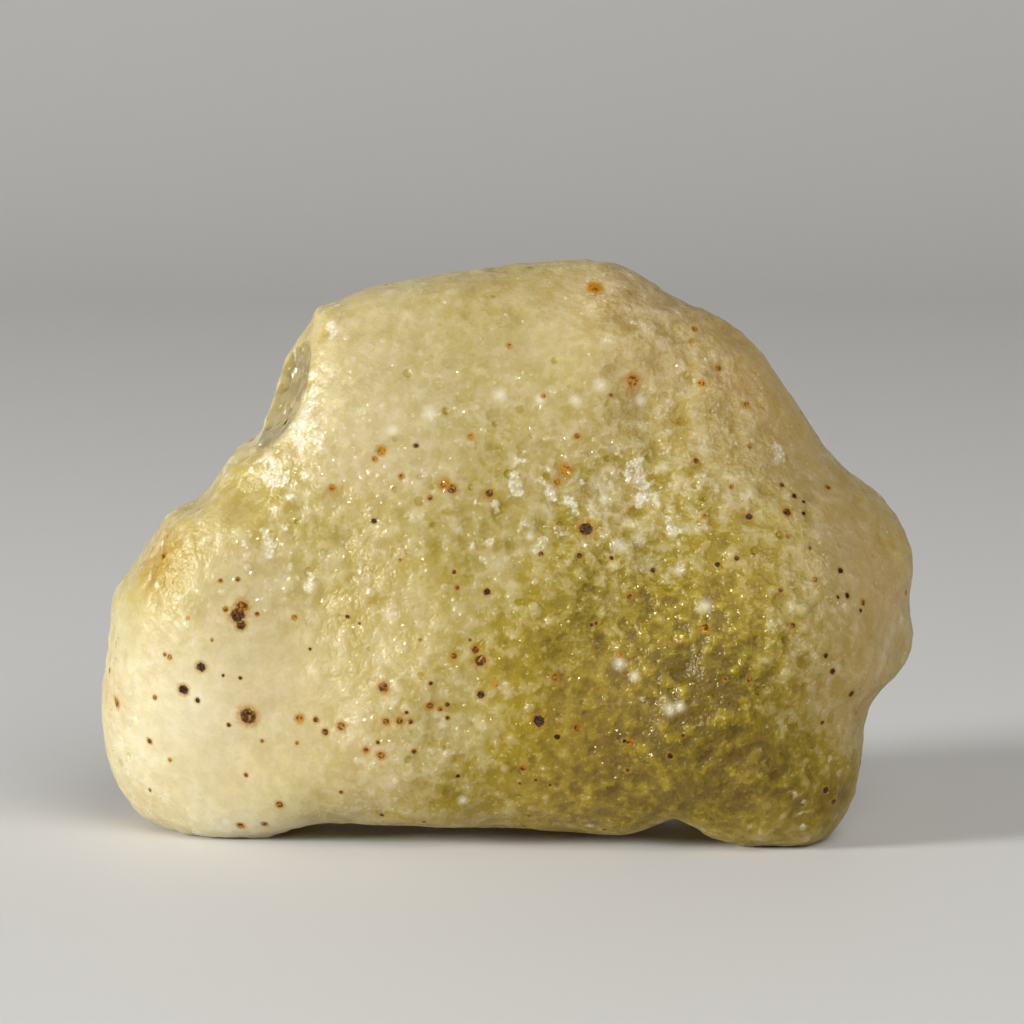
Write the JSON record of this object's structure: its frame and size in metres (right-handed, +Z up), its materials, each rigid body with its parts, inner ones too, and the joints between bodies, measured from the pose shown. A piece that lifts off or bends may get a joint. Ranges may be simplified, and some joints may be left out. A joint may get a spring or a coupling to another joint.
{
  "type": "raw libyan desert glass",
  "caption": "Raw lump of translucent yellow-green desert glass, wind-worn and pitted, standing on its lower edge.",
  "frame": {"origin": "middle of the lump's footprint box, on the surface that it stands on", "axes": "+X to the right along the lump's length, +Y away from the front face through its thickness, +Z up"},
  "size_m": [0.046, 0.0216, 0.0324],
  "materials": {
    "frosted_glass": "frosted translucent natural glass, pale yellow to olive, pitted and specked with iron stain"
  },
  "bodies": {
    "root": {"desert_glass": "frosted_glass"}
  },
  "joints": []
}
